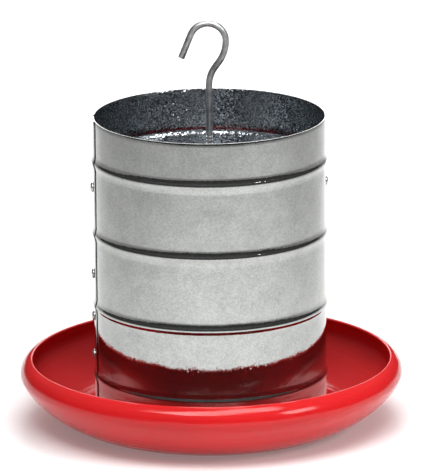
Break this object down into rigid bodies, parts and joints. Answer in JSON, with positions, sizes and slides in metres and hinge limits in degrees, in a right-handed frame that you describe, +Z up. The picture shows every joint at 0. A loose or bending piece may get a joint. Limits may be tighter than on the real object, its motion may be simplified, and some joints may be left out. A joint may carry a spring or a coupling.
{
  "type": "hanging poultry feeder",
  "caption": "Beaded galvanised feed tube carried on a hooked rod above a round pan with a curled rim, so feed runs out under the tube as birds eat.",
  "frame": {"origin": "centre of the pan's flat foot, on the surface it stands on", "axes": "+Z up along the rod, -Y to the front as pictured, -X to the side with the tube's seam"},
  "size_m": [0.3664, 0.3664, 0.392],
  "materials": {
    "red_plastic": "gloss moulded",
    "galvanised_sheet": "bright zinc with fine spangle",
    "galvanised_bar": "zinc coated strap",
    "zinc_wire": "satin zinc",
    "zinc_hardware": "bright zinc plate",
    "rivet_metal": "satin",
    "mandrel_steel": "broken steel pin"
  },
  "bodies": {
    "pan": {"feed_pan": "red_plastic", "feed_cone": "red_plastic"},
    "hanger": {"hanger_rod": "zinc_wire", "clip_washer": "zinc_hardware", "pan_nut_upper": "zinc_hardware", "pan_washer_upper": "zinc_hardware", "pan_washer_lower": "zinc_hardware", "pan_nut_lower": "zinc_hardware"},
    "tube": {"feed_tube": "galvanised_sheet", "cross_bar": "galvanised_bar", "bar_rivet_left": "rivet_metal", "bar_rivet_right": "rivet_metal", "seam_rivet_upper": "rivet_metal", "seam_rivet_middle": "rivet_metal", "seam_rivet_lower": "rivet_metal", "bar_mandrel_left": "mandrel_steel", "bar_mandrel_right": "mandrel_steel", "seam_mandrel_upper": "mandrel_steel", "seam_mandrel_middle": "mandrel_steel", "seam_mandrel_lower": "mandrel_steel"},
    "clip": {"height_clip": "zinc_hardware"}
  },
  "joints": [
    {"name": "hanger_swivel", "type": "hinge", "parent": "pan", "child": "hanger", "pos_m": [0, 0, 0.0365], "axis": [0, 0, 1], "continuous": true},
    {"name": "tube_lift", "type": "slide", "parent": "hanger", "child": "tube", "axis": [0, 0, 1], "range_m": [0, 0.1]},
    {"name": "clip_pull", "type": "slide", "parent": "hanger", "child": "clip", "axis": [0, -1, 0], "range_m": [0, 0.014]}
  ]
}
